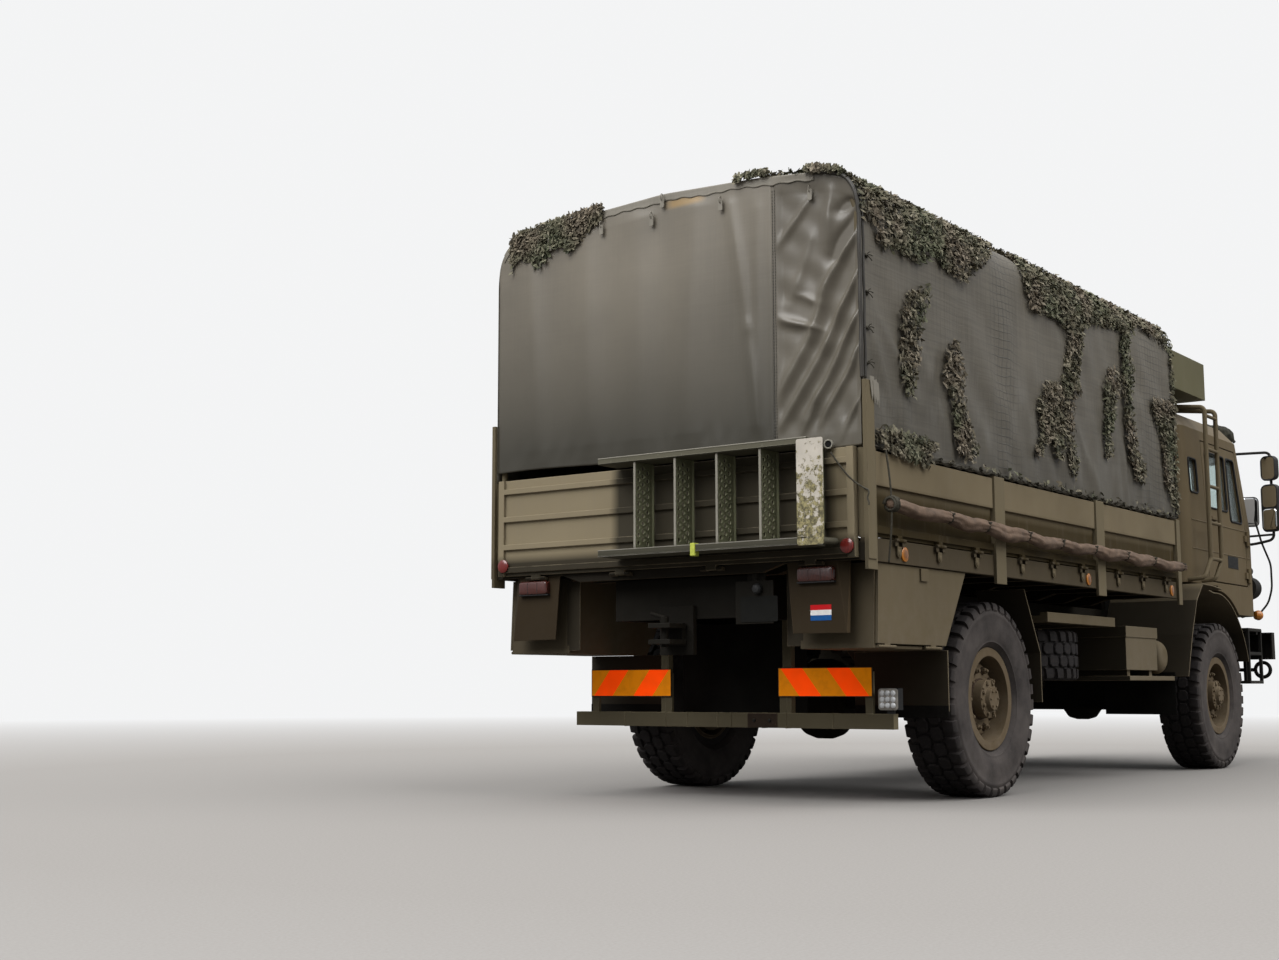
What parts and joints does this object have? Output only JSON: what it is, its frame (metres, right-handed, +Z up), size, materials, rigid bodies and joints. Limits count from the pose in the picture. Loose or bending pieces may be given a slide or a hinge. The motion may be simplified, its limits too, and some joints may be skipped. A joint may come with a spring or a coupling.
{
  "type": "military cargo truck",
  "caption": "Forward-control four-wheel-drive cargo truck with tilting cab, drop-side bed and canvas cover with scrim net.",
  "frame": {"origin": "on the ground, below the middle of the truck's box", "axes": "+X forward, +Y to the left, +Z up"},
  "size_m": [7.25, 2.756, 3.3065],
  "materials": {
    "body_paint": "satin olive-brown paint with dust",
    "chassis_paint": "matt dark olive paint with road dirt",
    "black_paint": "satin black paint",
    "engine_grey": "matt",
    "exhaust_steel": "heat-stained",
    "tyre": "matt rubber with dust",
    "canvas": "dark grey-green coated canvas",
    "net_cloth": "cut green and brown leaves on a net",
    "rolled_canvas": "brown rolled canvas",
    "seat_cloth": "dark green cloth",
    "marker_sheet": "retro-reflecting stripes",
    "lamp_glass": "clear lens",
    "black_plastic": "moulded",
    "window_glass": "clear"
  },
  "bodies": {
    "chassis": {"chassis_frame": "chassis_paint", "engine_block": "engine_grey", "driveline": "chassis_paint", "leaf_springs": "chassis_paint", "rear_axle": "chassis_paint", "front_axle": "chassis_paint", "spare_wheel": "body_paint", "spare_tyre": "tyre", "spare_carrier": "body_paint", "battery_box": "body_paint", "air_tanks": "body_paint", "fuel_tank": "body_paint", "exhaust": "exhaust_steel", "mudguards": "body_paint", "front_bumper": "black_paint", "cab_steps": "black_paint", "underrun_bar": "body_paint", "marker_boards": "marker_sheet", "work_lamp": "lamp_glass", "tow_coupling": "chassis_paint", "tail_lamps": "body_paint", "side_lockers": "body_paint", "cargo_bed": "body_paint", "side_boards_right": "body_paint", "posts_and_bows": "body_paint", "canopy": "canvas", "camouflage_net": "net_cloth", "cover_roll": "rolled_canvas"},
    "cab": {"cab_shell": "body_paint", "cab_glass": "window_glass", "seats": "seat_cloth", "dashboard": "black_plastic", "steering_wheel": "black_plastic", "mirrors": "black_plastic", "front_lamps": "black_paint", "cab_ladder": "body_paint", "roof_box": "body_paint"},
    "cab_door_left": {"door_left": "body_paint", "door_glass_left": "window_glass"},
    "cab_door_right": {"door_right": "body_paint", "door_glass_right": "window_glass"},
    "tailgate": {"tailgate": "body_paint", "boarding_steps": "body_paint"},
    "locker_door_left": {"locker_door_left": "body_paint"},
    "locker_door_right": {"locker_door_right": "body_paint"},
    "side_board_left_1": {"side_board_left_1": "body_paint"},
    "side_board_left_2": {"side_board_left_2": "body_paint"},
    "side_board_left_3": {"side_board_left_3": "body_paint"},
    "knuckle_left": {"steering_knuckle_left": "chassis_paint"},
    "knuckle_right": {"steering_knuckle_right": "chassis_paint"},
    "track_rod": {"track_rod": "chassis_paint"},
    "road_wheel_front_left": {"wheel_front_left": "body_paint", "tyre_front_left": "tyre"},
    "road_wheel_front_right": {"wheel_front_right": "body_paint", "tyre_front_right": "tyre"},
    "road_wheel_rear_left": {"wheel_rear_left": "body_paint", "tyre_rear_left": "tyre"},
    "road_wheel_rear_right": {"wheel_rear_right": "body_paint", "tyre_rear_right": "tyre"}
  },
  "joints": [
    {"name": "steer_left", "type": "hinge", "parent": "chassis", "child": "knuckle_left", "pos_m": [2.275, 0.74, 0.55], "axis": [0, 0, 1], "range_deg": [-30, 30]},
    {"name": "spin_front_left", "type": "hinge", "parent": "knuckle_left", "child": "road_wheel_front_left", "pos_m": [2.275, 0.955, 0.55], "axis": [0, 1, 0], "continuous": true},
    {"name": "spin_rear_left", "type": "hinge", "parent": "chassis", "child": "road_wheel_rear_left", "pos_m": [-1.775, 0.955, 0.55], "axis": [0, 1, 0], "continuous": true},
    {"name": "cab_door_left", "type": "hinge", "parent": "cab", "child": "cab_door_left", "pos_m": [3.03, 1.135, 1.65], "axis": [0, 0, -1], "range_deg": [0, 70]},
    {"name": "locker_left", "type": "hinge", "parent": "chassis", "child": "locker_door_left", "pos_m": [-2.9, 1.194, 0.818], "axis": [-1, 0, 0], "range_deg": [0, 90]},
    {"name": "steer_right", "type": "hinge", "parent": "chassis", "child": "knuckle_right", "pos_m": [2.275, -0.74, 0.55], "axis": [0, 0, 1], "range_deg": [-30, 30]},
    {"name": "spin_front_right", "type": "hinge", "parent": "knuckle_right", "child": "road_wheel_front_right", "pos_m": [2.275, -0.955, 0.55], "axis": [0, 1, 0], "continuous": true},
    {"name": "spin_rear_right", "type": "hinge", "parent": "chassis", "child": "road_wheel_rear_right", "pos_m": [-1.775, -0.955, 0.55], "axis": [0, 1, 0], "continuous": true},
    {"name": "cab_door_right", "type": "hinge", "parent": "cab", "child": "cab_door_right", "pos_m": [3.03, -1.135, 1.65], "axis": [0, 0, 1], "range_deg": [0, 70]},
    {"name": "locker_right", "type": "hinge", "parent": "chassis", "child": "locker_door_right", "pos_m": [-2.9, -1.194, 0.818], "axis": [1, 0, 0], "range_deg": [0, 90]},
    {"name": "track_rod_pivot", "type": "hinge", "parent": "knuckle_left", "child": "track_rod", "pos_m": [1.975, 0.74, 0.453], "axis": [0, 0, 1], "range_deg": [-30, 30]},
    {"name": "cab_tilt", "type": "hinge", "parent": "chassis", "child": "cab", "pos_m": [3.35, 0, 1.05], "axis": [0, 1, 0], "range_deg": [0, 50]},
    {"name": "tailgate_drop", "type": "hinge", "parent": "chassis", "child": "tailgate", "pos_m": [-3.428, 0, 1.232], "axis": [0, -1, 0], "range_deg": [0, 90]},
    {"name": "board_drop_1", "type": "hinge", "parent": "chassis", "child": "side_board_left_1", "pos_m": [-2.65, 1.23, 1.35], "axis": [-1, 0, 0], "range_deg": [0, 175]},
    {"name": "board_drop_2", "type": "hinge", "parent": "chassis", "child": "side_board_left_2", "pos_m": [-1.14, 1.23, 1.35], "axis": [-1, 0, 0], "range_deg": [0, 175]},
    {"name": "board_drop_3", "type": "hinge", "parent": "chassis", "child": "side_board_left_3", "pos_m": [0.36, 1.23, 1.35], "axis": [-1, 0, 0], "range_deg": [0, 175]}
  ],
  "couplings": [
    {"joint": "steer_right", "follows": "steer_left", "ratio": 1},
    {"joint": "track_rod_pivot", "follows": "steer_left", "ratio": -1}
  ]
}
